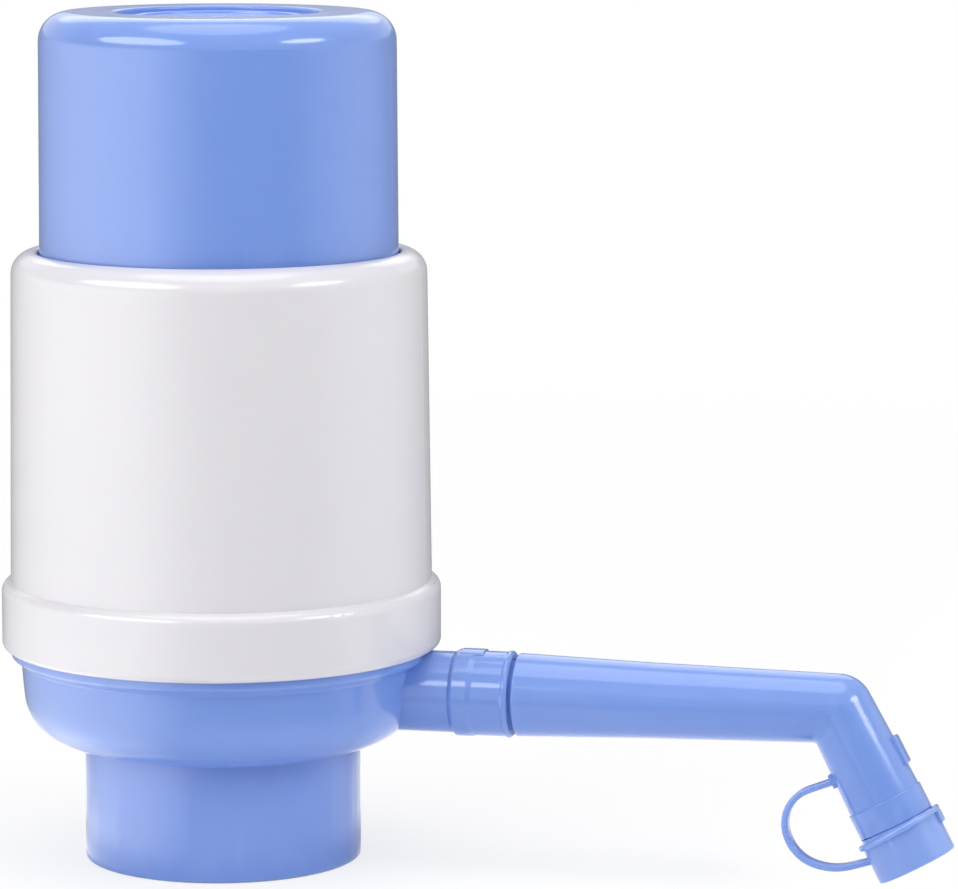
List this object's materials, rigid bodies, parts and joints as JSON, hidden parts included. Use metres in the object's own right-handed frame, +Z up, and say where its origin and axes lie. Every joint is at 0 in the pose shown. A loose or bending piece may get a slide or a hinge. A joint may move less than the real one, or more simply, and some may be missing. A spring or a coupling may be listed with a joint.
{
  "type": "water jug hand pump",
  "caption": "Hand pump for a large water jug: press cap over a bellows in a round sleeve, neck socket, and a swivelling elbowed spout with a tethered dust cap.",
  "frame": {"origin": "centre of the neck socket's mouth, on the plane of the neck's rim that the pump stands on", "axes": "+Z up along the pump's axis, +X along the spout, +Y to the pump's left as the spout points ahead"},
  "size_m": [0.2183, 0.0998, 0.1927],
  "materials": {
    "blue_plastic": "glossy moulded light blue",
    "white_plastic": "glossy moulded white",
    "tether_plastic": "satin flexible light blue",
    "inner_plastic": "natural moulded",
    "seal_rubber": "food grade rubber",
    "bellows_rubber": "moulded rubber",
    "spring_steel": "drawn stainless wire"
  },
  "bodies": {
    "pump_base": {"base_bowl": "blue_plastic", "outer_sleeve": "white_plastic", "spout_collar": "blue_plastic", "riser_elbow": "inner_plastic", "grip_sleeve": "seal_rubber", "neck_gasket": "seal_rubber", "valve_deck": "inner_plastic", "deck_gasket": "seal_rubber", "lower_clamp_ring": "inner_plastic", "bellows": "bellows_rubber", "return_spring": "spring_steel"},
    "press_cap_body": {"press_cap": "blue_plastic", "intake_plate": "inner_plastic", "upper_clamp_ring": "inner_plastic"},
    "intake_valve_body": {"intake_valve": "seal_rubber"},
    "delivery_valve_body": {"delivery_valve": "seal_rubber"},
    "spout_body": {"spout": "blue_plastic", "spout_o_rings": "seal_rubber"},
    "dust_cap_body": {"dust_cap": "tether_plastic", "cap_strap": "tether_plastic"}
  },
  "joints": [
    {"name": "cap_press", "type": "slide", "parent": "pump_base", "child": "press_cap_body", "axis": [0, 0, 1], "range_m": [-0.045, 0], "stiffness_N_per_m": 580, "springref_m": 0.012, "deforming": ["bellows", "return_spring"]},
    {"name": "intake_valve_lift", "type": "slide", "parent": "press_cap_body", "child": "intake_valve_body", "axis": [0, 0, -1], "range_m": [0, 0.0014], "stiffness_N_per_m": 20, "springref_m": -0.0008},
    {"name": "delivery_valve_lift", "type": "slide", "parent": "pump_base", "child": "delivery_valve_body", "axis": [0, 0, -1], "range_m": [0, 0.0014], "stiffness_N_per_m": 20, "springref_m": -0.0008},
    {"name": "spout_swivel", "type": "hinge", "parent": "pump_base", "child": "spout_body", "pos_m": [0.0622, 0, 0.03975], "axis": [1, 0, 0], "continuous": true},
    {"name": "dust_cap_pull", "type": "slide", "parent": "spout_body", "child": "dust_cap_body", "axis": [0.4749, -0.0767, -0.8767], "range_m": [0, 0.014], "deforming": ["cap_strap"]}
  ]
}
